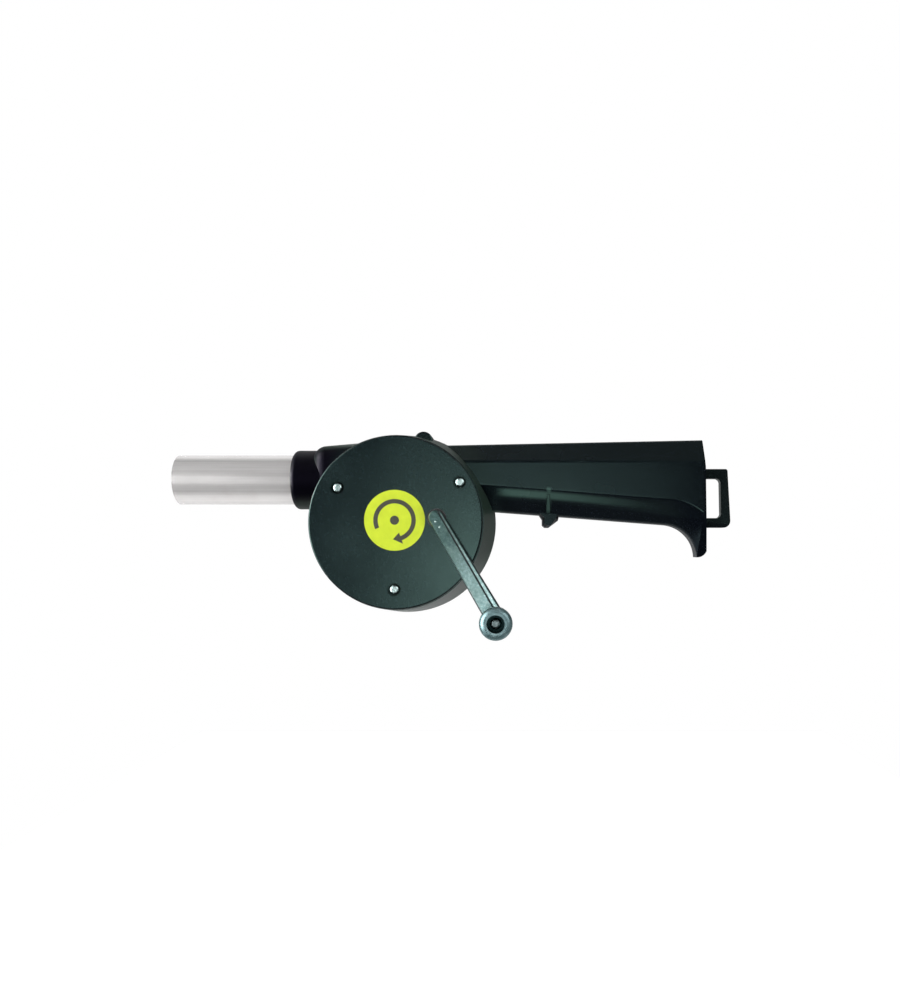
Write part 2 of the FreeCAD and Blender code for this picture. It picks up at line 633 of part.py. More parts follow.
def make_screw(centre, seat_y, length, side):
    """A pan head screw whose head seats at seat_y and whose shank runs towards side."""
    def span(near, far):
        a, b = sorted((seat_y + side * near, seat_y + side * far))
        return a, b
    head = rod(centre, SCREW_HEAD_R, *span(-SCREW_HEAD_H, 0))
    head = head.makeFillet(0.6 * SCREW_HEAD_H, flat_edges(head, seat_y - side * SCREW_HEAD_H))
    shank = rod(centre, SCREW_R, *span(0, length - SCREW_POINT))
    tip = Part.makeCone(SCREW_R, 0.3, SCREW_POINT, at(centre, seat_y + side * (length - SCREW_POINT)),
                        Vec(0, side, 0))
    y0, y1 = span(-SCREW_HEAD_H - 1, -SCREW_HEAD_H + CROSS_DEPTH)
    half, thin = CROSS_LENGTH / 2, CROSS_WIDTH / 2
    x, z = centre
    cross = box(x - half, x + half, y0, y1, z - thin, z + thin)
    cross = cross.fuse(box(x - thin, x + thin, y0, y1, z - half, z + half))
    return join(head, shank, tip).cut(cross)


def make_outlet_tube():
    tube = rod_x(TUBE_R, TUBE_MOUTH_X, SOCKET_MOUTH_X + TUBE_INSERT)
    return tube.cut(rod_x(TUBE_R - TUBE_WALL, TUBE_MOUTH_X - 1, SOCKET_MOUTH_X + TUBE_INSERT + 1))


def tooth_flank(teeth, side, gap_angle):
    """Three points of an involute flank, as (radius, angle from the tooth's middle) pairs."""
    pitch = pitch_radius(teeth)
    base = pitch * math.cos(PRESSURE)
    half = (math.pi * MODULE - BACKLASH) / (4 * pitch)
    involute_pitch = math.tan(PRESSURE) - PRESSURE
    start = max(base, pitch - DEDENDUM + 0.1)
    tip = pitch + ADDENDUM
    out = []
    for radius in (start, (start + tip) / 2, tip):
        roll = math.acos(base / radius)
        out.append((radius, side * (half + involute_pitch - (math.tan(roll) - roll)) + gap_angle))
    return out


def gear_wire(centre, teeth, tooth_angle):
    """The closed outline of a spur gear with one tooth pointing at tooth_angle."""
    root = pitch_radius(teeth) - DEDENDUM
    step = 2 * math.pi / teeth
    edges = []
    for i in range(teeth):
        middle = tooth_angle + i * step
        rising = [polar(centre, r, a) for r, a in tooth_flank(teeth, -1, middle)]
        falling = [polar(centre, r, a) for r, a in reversed(tooth_flank(teeth, 1, middle))]
        foot_angle = tooth_flank(teeth, 1, middle)[0][1]
        next_angle = tooth_flank(teeth, -1, middle + step)[0][1]
        foot_in = polar(centre, root, tooth_flank(teeth, -1, middle)[0][1])
        foot_out = polar(centre, root, foot_angle)
        next_in = polar(centre, root, next_angle)
        top = polar(centre, pitch_radius(teeth) + ADDENDUM, middle)
        valley = polar(centre, root, (foot_angle + next_angle) / 2)
        edges += [line(foot_in, rising[0]), arc(*rising), arc(rising[2], top, falling[0]), arc(*falling),
                  line(falling[2], foot_out), arc(foot_out, valley, next_in)]
    return Part.Wire(edges)


def gear(centre, teeth, tooth_angle, y0, y1):
    return extrude(gear_wire(centre, teeth, tooth_angle), y0, y1)


def web_cuts(centre, hub_r, teeth, y0, y1, recess_y0, recess_y1):
    """A ring recess and round holes that lighten a moulded gear."""
    rim = pitch_radius(teeth) - DEDENDUM - 1.4
    middle = (hub_r + rim) / 2
    hole = (rim - hub_r) / 2 - 1.0
    cuts = [ring(centre, rim, hub_r, recess_y0, recess_y1)]
    for i in range(WEB_HOLES):
        cuts.append(rod(polar(centre, middle, 2 * math.pi * i / WEB_HOLES), hole, y0 - 1, y1 + 1))
    return cuts


def d_rod(centre, y0, y1):
    """The crank shaft's round section with one flat."""
    x, z = centre
    cut = box(x - 9, x + 9, y0 - 1, y1 + 1, z + CRANK_FLAT, z + 9)
    return rod(centre, CRANK_SHAFT_R, y0, y1).cut(cut)


def double_d(y0, y1):
    """The tenon that keys the arm on the crank shaft, with its flats along the arm."""
    x, z = CRANK_C
    along = math.degrees(angle_between(CRANK_C, KNOB_C))
    keep = box(x - 9, x + 9, y0 - 1, y1 + 1, z - TENON_FLAT, z + TENON_FLAT)
    keep.rotate(at(CRANK_C, y0), Vec(0, 1, 0), -along)
    return rod(CRANK_C, TENON_R, y0, y1).common(keep)


def make_drive_gear():
    body = gear(CRANK_C, DRIVE_TEETH, angle_between(CRANK_C, IDLER_C), DRIVE_Y0, DRIVE_Y1)
    cuts = web_cuts(CRANK_C, CRANK_SHAFT_R + GEAR_HUB_WALL, DRIVE_TEETH, DRIVE_Y0, DRIVE_Y1,
                    DRIVE_Y0 - 1, DRIVE_Y0 + WEB_RECESS)
    return body.cut(cuts + [d_rod(CRANK_C, DRIVE_Y0 - 1, DRIVE_Y1 + 1)])


def make_idler_gear():
    """The compound gear: its small pinion meets the drive gear, its large gear meets the fan pinion."""
    gap = angle_between(IDLER_C, CRANK_C) + math.pi / IDLER_PINION_TEETH
    small = gear(IDLER_C, IDLER_PINION_TEETH, gap, DRIVE_Y0 - SIDE_PLAY / 2, IDLER_Y0 + 0.2)
    large = gear(IDLER_C, IDLER_TEETH, angle_between(IDLER_C, FAN_C), IDLER_Y0, IDLER_Y0 + IDLER_WIDTH)
    end = IDLER_Y0 + IDLER_WIDTH
    hub_r = pitch_radius(IDLER_PINION_TEETH) + ADDENDUM + 1.0
    large = large.cut(web_cuts(IDLER_C, hub_r, IDLER_TEETH, IDLER_Y0, end, end - WEB_RECESS + 0.3, end + 1))
    return join(small, large).cut(rod(IDLER_C, IDLER_PIN_R + RUN, DRIVE_Y0 - 2, end + 1))


def make_fan_pinion():
    gap = angle_between(FAN_C, IDLER_C) + math.pi / FAN_PINION_TEETH
    body = gear(FAN_C, FAN_PINION_TEETH, gap, IDLER_Y0 - 0.4, DECK_Y - SIDE_PLAY)
    return body.cut(rod(FAN_C, FAN_SHAFT_R, IDLER_Y0 - 2, DECK_Y + 1))


def make_crank_shaft():
    tail = rod(CRANK_C, CRANK_TAIL_R, DRIVE_Y1 - 0.5, DECK_REAR_Y - 1.0)
    return join(d_rod(CRANK_C, HUB_FOOT_Y, DRIVE_Y1), tail, double_d(ARM_Y0, HUB_FOOT_Y + 0.5))


def make_crank_clip():
    return ring(CRANK_C, CRANK_SHAFT_R + CLIP_STEP, CRANK_TAIL_R, DRIVE_Y1, DRIVE_Y1 + CLIP_THICK)


def arm_outline(y, hub, eye):
    """The arm's closed outline: a round hub end and a round eye end joined by straight sides."""
    ux, uz = math.cos(angle_between(CRANK_C, KNOB_C)), math.sin(angle_between(CRANK_C, KNOB_C))

    def place(centre, along, across):
        return (centre[0] + along * ux - across * uz, centre[1] + along * uz + across * ux)

    hub_r = sum(hub) / 2
    eye_r = sum(eye) / 2
    hub_mid = (hub[1] - hub[0]) / 2
    eye_mid = (eye[1] - eye[0]) / 2
    a = place(CRANK_C, 0, hub[1])
    b = place(CRANK_C, 0, -hub[0])
    c = place(KNOB_C, 0, -eye[0])
    d = place(KNOB_C, 0, eye[1])
    return Part.Wire([arc(a, place(CRANK_C, -hub_r, hub_mid), b, y), line(b, c, y),
                      arc(c, place(KNOB_C, eye_r, eye_mid), d, y), line(d, a, y)])


def arm_section(y, hub_inset, eye_inset):
    """The arm's outline drawn in on its two sides."""
    hub = [side - inset for side, inset in zip(HUB_SIDES, hub_inset)]
    eye = [side - inset for side, inset in zip(EYE_SIDES, eye_inset)]
    return arm_outline(y, hub, eye)


def arm_groove():
    """The thin groove between the flat face and the ridge on the upper side."""
    along = angle_between(CRANK_C, KNOB_C)
    across = along + math.pi / 2
    hub = polar(CRANK_C, HUB_SIDES[1] - HUB_FACE_INSET[1], across)
    eye = polar(KNOB_C, EYE_SIDES[1] - EYE_FACE_INSET[1], across)
    hub = polar(hub, -4.0, along)
    eye = polar(eye, 8.0, along)
    half = GROOVE_WIDTH / 2
    outline = polygon([polar(hub, half, across), polar(hub, -half, across),
                       polar(eye, -half, across), polar(eye, half, across)])
    return extrude(outline, ARM_Y0 - 1, ARM_Y0 + GROOVE_DEPTH)


def make_crank_arm():
    none = (0.0, 0.0)
    full = arm_section(ARM_Y1, none, none)
    shoulder = arm_section(ARM_Y0 + ARM_BEVEL, none, none)
    ridge = arm_section(ARM_Y0 + ARM_RIDGE, HUB_RIDGE_INSET, EYE_RIDGE_INSET)
    face = arm_section(ARM_Y0, HUB_FACE_INSET, EYE_FACE_INSET)
    bar = loft([full, shoulder, ridge, face])
    pad = rod(KNOB_C, EYE_PAD_R, ARM_Y0 - EYE_PAD, ARM_Y0 + ARM_BEVEL)
    boss = rod(CRANK_C, HUB_SIDES[0], ARM_Y1 - 0.5, HUB_FOOT_Y)
    body = join(bar.cut(arm_groove()), pad, boss)
    return body.cut([double_d(ARM_Y0 - 1, HUB_FOOT_Y + 1), rod(KNOB_C, KNOB_PIN_R, ARM_Y0 - 1, ARM_Y1 + 1)])


def make_knob():
    """The turning handle: slim at the arm and swelling to a rounded front rim round the screw recess."""
    x, z = KNOB_C
    waist_y = KNOB_Y1 - 0.35 * KNOB_LENGTH
    head_y = KNOB_Y0 + 0.16 * KNOB_LENGTH
    profile = [(KNOB_BASE_R, KNOB_Y1), (KNOB_WAIST_R, waist_y), (KNOB_HEAD_R, head_y), (KNOB_HEAD_R, KNOB_Y0)]
    points = [Vec(x + r, y, z) for r, y in profile]
    side = Part.Arc(points[0], Vec(x + KNOB_WAIST_R, waist_y, z), points[2]).toShape()
    edges = [side, Part.LineSegment(points[2], points[3]).toShape(),
             Part.LineSegment(points[3], Vec(x, KNOB_Y0, z)).toShape(),
             Part.LineSegment(Vec(x, KNOB_Y0, z), Vec(x, KNOB_Y1, z)).toShape(),
             Part.LineSegment(Vec(x, KNOB_Y1, z), points[0]).toShape()]
    body = Part.Face(Part.Wire(edges)).revolve(Vec(x, 0, z), Vec(0, 1, 0), 360)
    body = body.makeFillet(KNOB_EDGE_R, flat_edges(body, KNOB_Y0))
    recess = rod(KNOB_C, KNOB_RECESS_R, KNOB_Y0 - 1, KNOB_Y0 + KNOB_RECESS)
    return body.cut([recess, rod(KNOB_C, KNOB_PIN_R + RUN, KNOB_Y0, KNOB_Y1 + 1)])


def make_knob_rivet():
    """The pin the knob turns on, with a domed head in the knob's recess."""
    seat = KNOB_Y0 + KNOB_RECESS - SIDE_PLAY
    head = rod(KNOB_C, KNOB_PIN_HEAD_R, seat - KNOB_PIN_HEAD_H, seat)
    head = head.makeFillet(0.9 * KNOB_PIN_HEAD_H, flat_edges(head, seat - KNOB_PIN_HEAD_H))
    return join(head, rod(KNOB_C, KNOB_PIN_R, seat - 0.5, ARM_Y1))


def blade():
    """One curved blade of the fan wheel."""
    def at_radius(radius, share):
        angle = math.radians(BLADE_SWEEP * share)
        half = BLADE_THICK / (2 * radius)
        return polar(FAN_C, radius, angle - half), polar(FAN_C, radius, angle + half)
    middle_r = (BLADE_INNER_R + FAN_R) / 2
    low = [at_radius(BLADE_INNER_R, 0.0), at_radius(middle_r, 0.38), at_radius(FAN_R, 1.0)]
    near = [p[0] for p in low]
    far = [p[1] for p in low]
    wire = Part.Wire([arc(*near), line(near[2], far[2]), arc(far[2], far[1], far[0]), line(far[0], near[0])])
    return extrude(wire, FAN_Y0 + FAN_PLATE - 0.3, FAN_Y1)


def make_fan_wheel():
    hub = rod(FAN_C, FAN_SHAFT_R + FAN_HUB_WALL, FAN_Y0 - 0.9, FAN_Y0 + FAN_HUB_LENGTH)
    body = rod(FAN_C, FAN_R, FAN_Y0, FAN_Y0 + FAN_PLATE).fuse(hub)
    blades = []
    for i in range(BLADES):
        b = blade()
        b.rotate(Vec(0, 0, 0), Vec(0, 1, 0), 360.0 * i / BLADES)
        blades.append(b)
    return body.fuse(blades).removeSplitter().cut(rod(FAN_C, FAN_SHAFT_R, DECK_Y, 1))


def make_parts():
    """Every part by node name."""
    parts = {"front_shell": make_front_shell(), "rear_shell": make_rear_shell(),
             "gear_cover": make_gear_cover(), "cover_label": make_label(), "outlet_tube": make_outlet_tube()}
    for i, c in enumerate(COVER_SCREWS, 1):
        parts["cover_screw_%d" % i] = make_screw(c, COVER_Y + COUNTERBORE, COVER_SCREW_LENGTH, 1)
    for i, c in enumerate(BODY_SCREWS, 1):
        parts["body_screw_%d" % i] = make_screw(c, PART_Y + BODY_SEAT, BODY_SCREW_LENGTH, -1)
    parts["crank_bush"] = ring(CRANK_C, CRANK_BUSH_R, CRANK_SHAFT_R + RUN,
                               COVER_Y - BUSH_PROUD, DRIVE_Y0 - SIDE_PLAY)
    parts["crank_shaft"] = make_crank_shaft()
    parts["crank_clip"] = make_crank_clip()
    parts["drive_gear"] = make_drive_gear()
    parts["crank_arm"] = make_crank_arm()
    parts["knob"] = make_knob()
    parts["knob_rivet"] = make_knob_rivet()
    parts["idler_pin"] = rod(IDLER_C, IDLER_PIN_R, RIM_Y - PIN_SEAT, DECK_REAR_Y + 1.0)
    parts["idler_gear"] = make_idler_gear()
    parts["fan_shaft"] = rod(FAN_C, FAN_SHAFT_R, IDLER_Y0 - 0.4, -BUSH_BACK - SIDE_PLAY)
    parts["fan_pinion"] = make_fan_pinion()
    parts["fan_bush_front"] = ring(FAN_C, FAN_BUSH_R, FAN_SHAFT_R + RUN, DECK_Y, FAN_Y0 - 1.2)
    parts["fan_bush_rear"] = ring(FAN_C, FAN_BUSH_R, FAN_SHAFT_R + RUN,
                                  -WALL - HUB_BOSS, -BUSH_BACK)
    parts["fan_wheel"] = make_fan_wheel()
    return parts


def main():
    os.makedirs("parts", exist_ok=True)
    for name, shape in make_parts().items():
        shape.exportStep("parts/%s.step" % name)
        print(name, shape.isValid(), len(shape.Solids), round(shape.Volume, 1))


if __name__ == "__main__":
    main()
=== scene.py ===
"""Looks of the hand cranked blower: materials on the CAD nodes, small details, studio light and camera."""

import json
import math

import bmesh
import bpy
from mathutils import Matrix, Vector


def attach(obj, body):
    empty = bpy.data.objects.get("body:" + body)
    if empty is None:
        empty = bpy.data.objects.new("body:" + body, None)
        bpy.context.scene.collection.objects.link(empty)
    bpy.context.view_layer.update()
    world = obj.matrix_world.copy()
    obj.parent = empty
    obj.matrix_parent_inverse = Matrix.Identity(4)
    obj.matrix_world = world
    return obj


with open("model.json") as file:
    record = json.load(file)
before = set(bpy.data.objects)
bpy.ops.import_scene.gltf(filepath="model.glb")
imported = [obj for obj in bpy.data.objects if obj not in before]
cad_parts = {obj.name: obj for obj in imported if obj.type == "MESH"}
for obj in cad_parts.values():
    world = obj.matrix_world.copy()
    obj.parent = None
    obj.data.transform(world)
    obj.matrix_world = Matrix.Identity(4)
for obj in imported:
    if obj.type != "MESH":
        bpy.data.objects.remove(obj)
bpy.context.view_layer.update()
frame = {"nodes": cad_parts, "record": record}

# Camera: square to the object, right of the casing and level with its lower half, framed by a small shift
CAMERA_AT = Vector((0.056, -0.436, -0.012))
AIM = Vector((0.0, 1.0, 0.0))
LENS = 30.85
SHIFT = (-0.0663, 0.0481)

# Places and sizes on the object, in metres
CRANK = Vector((0.0194, 0.0, 0.0017))
ARM_FACE_Y = -0.050
LABEL_AT = Vector((0.0, 0.0, 0.0008))
LABEL_Y = -0.04195
PARTING_Y = -0.016
SEAM_Y = -0.039
KNOB = Vector((0.04725, 0.0, -0.04425))
ARM_REACH = (KNOB - CRANK).length
ARM_ALONG = (KNOB - CRANK).normalized()
ARM_ACROSS = Vector((-ARM_ALONG.z, 0.0, ARM_ALONG.x))
GROOVE_AT = (0.0025, 0.0013)
RECESS_R = 0.00375
LABEL_RING_R = 0.0088
LABEL_DOT_R = 0.0021
MARK_THICK = 0.00006
STAKES_AT = ((0.0196, -0.0001), (0.0214, -0.0026))
STAKE_SIZE = (0.00042, 0.00022)

# Where a change in the plastics starts and ends: painted shade round the screws, painted light on the drum's
# walls, the hanging loop.
# A painted highlight along a band under the handle's flat face starts at BAND_AT (x, z), and falls by
# BAND_FALL times the run and its square; another lies on the rib at RIB_X.
SCREW_SHADE_R = (0.0021, 0.0033)
DRUM_END_R = (0.049, 0.052)
BAND_AT = (0.0506, 0.0146)
BAND_FALL = (0.0645, 0.40)
RIB_X = 0.0715
LOOP_X = (0.1490, 0.1515)

# The tint that the black plastics give to what they mirror
SHEEN_TINT = (0.58, 1.0, 0.90)

camera_data = bpy.data.cameras.new("camera")
camera_data.lens = LENS
camera_data.shift_x, camera_data.shift_y = SHIFT
camera_data.clip_start = 0.01
camera = bpy.data.objects.new("camera", camera_data)
camera.location = CAMERA_AT
camera.rotation_euler = AIM.to_track_quat("-Z", "Y").to_euler()
bpy.context.collection.objects.link(camera)
bpy.context.scene.camera = camera
bpy.context.scene.view_settings.view_transform = "Standard"


class Nodes:
    """A short way to build one node tree."""

    def __init__(self, tree):
        self.tree = tree

    def add(self, kind, inputs=None, **settings):
        node = self.tree.nodes.new(kind)
        for key, value in settings.items():
            setattr(node, key, value)
        for key, value in (inputs or {}).items():
            if isinstance(value, bpy.types.NodeSocket):
                self.tree.links.new(value, node.inputs[key])
            else:
                node.inputs[key].default_value = value
        return node

    def link(self, source, target):
        self.tree.links.new(source, target)

    def math(self, operation, a, b=0.0, clamp=False):
        return self.add("ShaderNodeMath", {0: a, 1: b}, operation=operation, use_clamp=clamp).outputs[0]

    def mul(self, a, b, clamp=False):
        return self.math("MULTIPLY", a, b, clamp)

    def plus(self, a, b):
        return self.math("ADD", a, b)

    def sub(self, a, b):
        return self.math("SUBTRACT", a, b)

    def smooth(self, value, low, high):
        """Nought below low, one above high, with a soft change between."""
        node = self.add("ShaderNodeMapRange", {"Value": value, "From Min": low, "From Max": high},
                        interpolation_type="SMOOTHSTEP")
        return node.outputs["Result"]

    def fade(self, value, low, high):
        """One below low, nought above high, with a soft change between."""
        return self.sub(1.0, self.smooth(value, low, high))

    def split(self, vector):
        return self.add("ShaderNodeSeparateXYZ", {"Vector": vector}).outputs

    def dot(self, vector, direction):
        inputs = {0: vector, 1: Vector(direction).normalized()}
        return self.add("ShaderNodeVectorMath", inputs, operation="DOT_PRODUCT").outputs["Value"]


class Material(Nodes):
    """One material, with its Principled shader as self.shader."""

    def __init__(self, name):
        self.material = bpy.data.materials.new(name)
        self.material.use_nodes = True
        super().__init__(self.material.node_tree)
        self.shader = self.tree.nodes["Principled BSDF"]
        self.place = self.add("ShaderNodeTexCoord").outputs["Object"]

    def set(self, **values):
        for key, value in values.items():
            self.shader.inputs[key.replace("_", " ")].default_value = value

    def noise(self, scale, detail=3.0, stretch=(1, 1, 1), roughness=0.5):
        mapping = self.add("ShaderNodeMapping", {"Vector": self.place, "Scale": stretch})
        noise = self.add("ShaderNodeTexNoise", {"Vector": mapping.outputs["Vector"], "Scale": scale,
                                                "Detail": detail, "Roughness": roughness})
        return noise.outputs["Fac"]

    def ramp(self, source, stops):
        ramp = self.add("ShaderNodeValToRGB")
        while len(ramp.color_ramp.elements) < len(stops):
            ramp.color_ramp.elements.new(0.5)
        for element, (position, color) in zip(ramp.color_ramp.elements, stops):
            element.position = position
            element.color = (*color, 1.0)
        self.link(source, ramp.inputs["Fac"])
        return ramp.outputs["Color"]

    def blend(self, factor, a, b):
        """Colour a at factor nought, b at one."""
        node = self.add("ShaderNodeMix", data_type="RGBA")
        for socket, value in ((node.inputs[0], factor), (node.inputs[6], a), (node.inputs[7], b)):
            if isinstance(value, bpy.types.NodeSocket):
                self.link(value, socket)
            else:
                socket.default_value = value if isinstance(value, float) else (*value, 1.0)
        return node.outputs[2]

    def distance(self, middle):
        """How far a place is from the line along Y through middle."""
        apart = self.add("ShaderNodeVectorMath", {0: self.place, 1: middle}, operation="SUBTRACT")
        flat = self.add("ShaderNodeVectorMath", {0: apart.outputs["Vector"], 1: (1.0, 0.0, 1.0)},
                        operation="MULTIPLY")
        length = self.add("ShaderNodeVectorMath", {0: flat.outputs["Vector"]}, operation="LENGTH")
        return length.outputs["Value"]

    def spread(self, source, low, high):
        """A noise brought to between low and high."""
        node = self.add("ShaderNodeMapRange", {"Value": source, "From Min": 0.3, "From Max": 0.7,
                                               "To Min": low, "To Max": high})
        return node.outputs["Result"]

    def roughness(self, source, low, high):
        self.link(self.spread(source, low, high), self.shader.inputs["Roughness"])

    def bump(self, layers):
        """Surface relief from (source, strength, distance) layers."""
        normal = None
        for source, strength, distance in layers:
            node = self.add("ShaderNodeBump", {"Height": source, "Strength": strength, "Distance": distance})
            if normal is not None:
                self.link(normal, node.inputs["Normal"])
            normal = node.outputs["Normal"]
        self.link(normal, self.shader.inputs["Normal"])

    def color(self, source):
        self.link(source, self.shader.inputs["Base Color"])


def middle_of(node):
    """The middle of a node's box, in the part's own frame."""
    piece = frame["nodes"][node]
    return sum((piece.matrix_world @ Vector(corner) for corner in piece.bound_box), Vector()) / 8


def shell_painted_light_and_roughness(m, tone, sheen, cloud):
    """Painted shade, painted highlights and rougher places on the two shells: gives the new tone and sheen.
    """
    x, z = (m.split(m.place)[axis] for axis in "XZ")
    normal = m.split(m.add("ShaderNodeNewGeometry").outputs["Normal"])

    # Painted shade round the outlet neck: a darker colour and a rougher surface
    neck_shade = m.smooth(m.mul(x, -1.0), 0.020, 0.034)
    tone = m.blend(m.mul(neck_shade, 0.85), tone, (0.0012, 0.0010, 0.0024))
    sheen = m.plus(sheen, m.mul(neck_shade, 0.16))

    # Rougher side walls; round the drum they are painted a patchy, paler olive: painted light
    side = m.fade(m.math("ABSOLUTE", normal["Y"]), 0.45, 0.85)
    drum_wall_light = m.mul(side, m.fade(m.distance((0.0, 0.0, 0.0)), *DRUM_END_R))
    patchy = m.plus(m.mul(m.smooth(cloud, 0.30, 0.70), 0.4), 0.5)
    tone = m.blend(m.mul(drum_wall_light, patchy), tone, (0.018, 0.031, 0.023))
    sheen = m.plus(sheen, m.mul(side, 0.22))

    # Painted highlight: a paler band under the handle's flat face, most of all near the drum, and a paler
    # line on the rib
    run = m.sub(x, BAND_AT[0])
    fall = m.mul(run, m.plus(m.mul(run, BAND_FALL[1]), BAND_FALL[0]))
    above = m.plus(m.sub(z, BAND_AT[1]), fall)
    ridge_highlight = m.fade(m.math("ABSOLUTE", above), 0.0006, 0.0026)
    ridge_highlight = m.mul(ridge_highlight, m.mul(m.smooth(x, 0.045, 0.051), m.fade(x, 0.052, 0.132)))
    rib_highlight = m.fade(m.math("ABSOLUTE", m.sub(x, RIB_X)), 0.0004, 0.0016)
    rib_highlight = m.mul(rib_highlight, m.mul(m.smooth(z, 0.0035, 0.0070), 0.7))
    in_front = m.smooth(m.mul(normal["Y"], -1.0), 0.4, 0.7)
    painted_highlight = m.mul(m.math("MAXIMUM", ridge_highlight, rib_highlight), in_front, clamp=True)
    painted_highlight = m.mul(painted_highlight, m.fade(z, 0.0160, 0.0175))
    tone = m.blend(painted_highlight, tone, (0.040, 0.075, 0.064))

    # Painted shade: a dark specular tint on the underside and round the neck. The hanging loop is coloured a
    # paler blue-grey
    underside_shade = m.mul(m.smooth(m.mul(above, -1.0), 0.0024, 0.0042), m.smooth(x, 0.044, 0.050))
    dull = m.math("MAXIMUM", m.mul(underside_shade, 0.65), neck_shade)
    m.link(m.blend(dull, SHEEN_TINT, (0.06, 0.05, 0.09)), m.shader.inputs["Specular Tint"])
    tone = m.blend(m.smooth(x, *LOOP_X), tone, (0.0120, 0.0170, 0.0240))
    return tone, sheen


def cover_painted_shade(m, tone, screws):
    """Painted shade round the sunk screw heads and along the cover's rounded edge, in the colour and the
    specular tint: gives the new tone.
    """
    # Painted shade: the cover is darker in colour and specular tint round each screw head and on its rounded
    # edge
    screw_shade = 0.0
    for middle in screws:
        screw_shade = m.plus(screw_shade, m.fade(m.distance(middle), *SCREW_SHADE_R))
    facing = m.math("ABSOLUTE", m.split(m.add("ShaderNodeNewGeometry").outputs["Normal"])["Y"])
    cover_shade_mask = m.math("MAXIMUM", screw_shade, m.fade(facing, 0.80, 0.97), clamp=True)
    m.link(m.blend(m.mul(cover_shade_mask, 0.88), SHEEN_TINT, (0.08, 0.10, 0.10)), m.shader.inputs["Specular Tint"])
    return m.blend(m.mul(cover_shade_mask, 0.9), tone, (0.001, 0.001, 0.001))


def moulded(name, dark, light, specular, rough, seam_at, shell=False, screws=()):
    """Moulded black plastic: cloudy colour, a fine eroded grain, light specks and faint scratches."""
    m = Material(name)
    m.set(Specular_Tint=(*SHEEN_TINT, 1.0), Specular_IOR_Level=specular)
    cloud = m.noise(30.0, 5.0, roughness=0.62)
    mottle = m.noise(520.0, 4.0, roughness=0.7)
    tone = m.ramp(cloud, [(0.30, dark), (0.72, light)])
    tone = m.blend(m.mul(m.smooth(mottle, 0.36, 0.74), 0.55), tone, tuple(1.7 * c for c in light))
    specks = m.smooth(m.noise(1500.0, 2.0), 0.60, 0.78)
    tone = m.blend(m.mul(specks, 0.35), tone, tuple(3.0 * c for c in light))
    sheen = m.spread(m.noise(26.0, 3.0), rough - 0.05, rough + 0.08)
    if shell:
        tone, sheen = shell_painted_light_and_roughness(m, tone, sheen, cloud)
    if screws:
        tone = cover_painted_shade(m, tone, screws)
    depth = m.math("ABSOLUTE", m.sub(m.split(m.place)["Y"], seam_at))
    seam = m.fade(depth, 0.00010, 0.00026)
    m.color(m.blend(m.mul(seam, 0.85), tone, (0.001, 0.001, 0.001)))
    m.link(sheen, m.shader.inputs["Roughness"])
    grain = m.noise(2600.0, 2.0)
    scratch = m.smooth(m.noise(170.0, 2.0, (1.0, 1.0, 14.0)), 0.66, 0.74)
    m.bump([(grain, 0.30, 0.00007), (mottle, 0.12, 0.00012), (scratch, 0.06, 0.00004)])
    return m.material


def drawn_tube(name):
    """Thin drawn tube, dulled on the outside, with faint draw lines and handling marks."""
    m = Material(name)
    m.set(Metallic=0.55)
    lines = m.noise(900.0, 3.0, (0.012, 1.0, 1.0))
    cloud = m.noise(55.0, 4.0, roughness=0.6)
    tone = m.ramp(lines, [(0.30, (0.71, 0.695, 0.69)), (0.70, (0.83, 0.815, 0.81))])
    m.color(m.blend(m.mul(m.smooth(cloud, 0.45, 0.75), 0.35), tone, (0.62, 0.585, 0.57)))
    m.roughness(cloud, 0.15, 0.24)
    m.bump([(lines, 0.12, 0.00004), (m.noise(300.0, 2.0), 0.06, 0.0001)])
    return m.material


def cast_arm(name):
    """Die cast arm, grainy silver grey: paler towards the knob, with painted shade in its groove and down its
    flank.
    """
    m = Material(name)
    m.set(Metallic=0.35, Specular_IOR_Level=0.4)
    grain = m.noise(700.0, 4.0, roughness=0.7)
    pale = m.ramp(grain, [(0.36, (0.190, 0.320, 0.315)), (0.52, (0.300, 0.455, 0.450)),
                          (0.66, (0.490, 0.640, 0.635))])
    dull = m.ramp(grain, [(0.36, (0.022, 0.050, 0.046)), (0.52, (0.040, 0.085, 0.079)),
                          (0.66, (0.090, 0.155, 0.145))])
    reach = m.sub(m.dot(m.place, ARM_ALONG), CRANK.dot(ARM_ALONG))
    tone = m.blend(m.smooth(reach, 0.008, 0.046), dull, pale)
    cloud = m.noise(150.0, 3.0)
    tone = m.blend(m.mul(m.smooth(cloud, 0.42, 0.70), 0.45), tone, (0.12, 0.20, 0.185))
    across = m.sub(m.dot(m.place, ARM_ACROSS), CRANK.dot(ARM_ACROSS))
    groove_at = m.add("ShaderNodeMapRange", {"Value": reach, "From Min": 0.0, "From Max": ARM_REACH,
                                             "To Min": GROOVE_AT[0], "To Max": GROOVE_AT[1]}, clamp=False)
    off = m.math("ABSOLUTE", m.sub(across, groove_at.outputs["Result"]))
    # Painted shade: darker in the groove and down the flank
    groove = m.fade(off, 0.00030, 0.00055)
    flank = m.smooth(m.plus(m.split(m.place)["Y"], -ARM_FACE_Y), 0.0009, 0.0014)
    arm_shade = m.mul(m.math("MAXIMUM", groove, flank), 0.93)
    m.color(m.blend(arm_shade, tone, (0.010, 0.015, 0.015)))
    m.roughness(m.noise(120.0, 2.0), 0.34, 0.46)
    m.bump([(grain, 0.22, 0.00010), (cloud, 0.12, 0.0003)])
    return m.material


